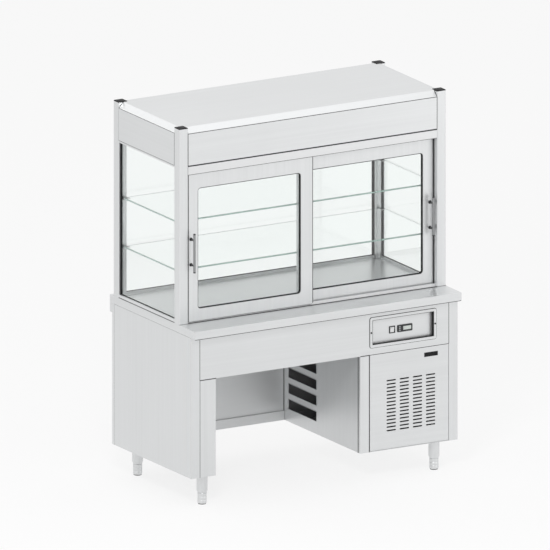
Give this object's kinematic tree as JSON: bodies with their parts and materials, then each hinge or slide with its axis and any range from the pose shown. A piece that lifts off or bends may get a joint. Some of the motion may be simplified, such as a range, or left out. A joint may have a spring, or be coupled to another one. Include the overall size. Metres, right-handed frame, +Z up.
{
  "type": "refrigerated display case",
  "caption": "Tall refrigerated display case with bypass sliding glass doors on a steel counter base with a knee hole and a compressor compartment.",
  "frame": {"origin": "on the floor under the middle of the worktop, the bottom centre of the bounding box", "axes": "+X to the operator's right along the front, +Y away from the operator towards the customer side, +Z up"},
  "size_m": [1.5, 0.83, 1.888],
  "materials": {
    "stainless": "satin brushed stainless sheet",
    "aluminium": "satin anodised",
    "clear_glass": "clear tempered glass",
    "black_plastic": "fine matt moulding",
    "pale_plastic": "smooth pale moulding",
    "grey_plastic": "matt moulding",
    "display_window": "blank pale display window",
    "black_paint": "semi-gloss black enamel",
    "coil_metal": "mill finish fins",
    "copper": "drawn copper tube"
  },
  "bodies": {
    "cabinet": {"worktop": "stainless", "side_panel_left": "stainless", "side_panel_right": "stainless", "apron": "stainless", "customer_panel": "stainless", "knee_lining": "stainless", "compartment_jamb": "stainless", "compartment_side": "stainless", "compartment_floor": "stainless", "door_pivot_lower": "stainless", "door_pivot_upper": "stainless", "control_bezel": "stainless", "roof": "stainless", "fascia_front": "stainless", "fascia_back": "stainless", "side_fascia_left": "stainless", "side_fascia_right": "stainless", "display_deck": "stainless", "ceiling_panel": "stainless", "leg_front_left": "stainless", "post_front_left": "stainless", "leg_front_right": "stainless", "post_front_right": "stainless", "leg_back_left": "stainless", "post_back_left": "stainless", "leg_back_right": "stainless", "post_back_right": "stainless", "bottom_track": "aluminium", "header_rail": "aluminium", "customer_glass": "clear_glass", "side_glass_left": "clear_glass", "side_glass_right": "clear_glass", "shelf_lower": "clear_glass", "shelf_upper": "clear_glass", "switch_body": "black_plastic", "thermostat_body": "black_plastic", "evaporating_tray": "grey_plastic", "thermostat_window": "display_window", "compressor": "black_paint", "fan_shroud": "black_paint", "condenser": "black_paint", "evaporator_coil": "coil_metal", "refrigerant_line": "copper"},
    "left_door": {"sliding_door_left": "stainless", "door_glass_left": "clear_glass", "door_handle_left": "stainless"},
    "right_door": {"sliding_door_right": "stainless", "door_glass_right": "clear_glass", "door_handle_right": "stainless"},
    "access_door": {"grille_door": "stainless"},
    "switch": {"switch_rocker": "pale_plastic"},
    "key_1": {"thermostat_key_1": "grey_plastic"},
    "key_2": {"thermostat_key_2": "grey_plastic"},
    "key_3": {"thermostat_key_3": "grey_plastic"},
    "condenser_rotor": {"condenser_fan": "aluminium"},
    "evaporator_rotor": {"evaporator_fan": "aluminium"},
    "foot_1": {"foot_front_left": "stainless"},
    "foot_2": {"foot_front_right": "stainless"},
    "foot_3": {"foot_back_left": "stainless"},
    "foot_4": {"foot_back_right": "stainless"}
  },
  "joints": [
    {"name": "left_door_slide", "type": "slide", "parent": "cabinet", "child": "left_door", "axis": [1, 0, 0], "range_m": [0, 0.638]},
    {"name": "right_door_slide", "type": "slide", "parent": "cabinet", "child": "right_door", "axis": [1, 0, 0], "range_m": [-0.638, 0]},
    {"name": "access_door_hinge", "type": "hinge", "parent": "cabinet", "child": "access_door", "pos_m": [0.2815, -0.368, 0.4], "axis": [0, 0, -1], "range_deg": [0, 110]},
    {"name": "switch_rock", "type": "hinge", "parent": "cabinet", "child": "switch", "pos_m": [0.391, -0.3564, 0.748], "axis": [1, 0, 0], "range_deg": [-16, 0]},
    {"name": "key_1_press", "type": "slide", "parent": "cabinet", "child": "key_1", "axis": [0, 1, 0], "range_m": [0, 0.0008], "stiffness_N_per_m": 400, "springref_m": -0.0003},
    {"name": "key_2_press", "type": "slide", "parent": "cabinet", "child": "key_2", "axis": [0, 1, 0], "range_m": [0, 0.0008], "stiffness_N_per_m": 400, "springref_m": -0.0003},
    {"name": "key_3_press", "type": "slide", "parent": "cabinet", "child": "key_3", "axis": [0, 1, 0], "range_m": [0, 0.0008], "stiffness_N_per_m": 400, "springref_m": -0.0003},
    {"name": "condenser_fan_spin", "type": "hinge", "parent": "cabinet", "child": "condenser_rotor", "pos_m": [0.489, -0.262, 0.318], "axis": [0, 1, 0], "continuous": true},
    {"name": "evaporator_fan_spin", "type": "hinge", "parent": "cabinet", "child": "evaporator_rotor", "pos_m": [-0.3, 0.06, 1.706], "axis": [0, 0, 1], "continuous": true},
    {"name": "foot_1_turn", "type": "hinge", "parent": "cabinet", "child": "foot_1", "pos_m": [-0.652, -0.314, 0.03], "axis": [0, 0, 1], "continuous": true},
    {"name": "foot_2_turn", "type": "hinge", "parent": "cabinet", "child": "foot_2", "pos_m": [0.652, -0.314, 0.03], "axis": [0, 0, 1], "continuous": true},
    {"name": "foot_3_turn", "type": "hinge", "parent": "cabinet", "child": "foot_3", "pos_m": [-0.652, 0.314, 0.03], "axis": [0, 0, 1], "continuous": true},
    {"name": "foot_4_turn", "type": "hinge", "parent": "cabinet", "child": "foot_4", "pos_m": [0.652, 0.314, 0.03], "axis": [0, 0, 1], "continuous": true}
  ]
}
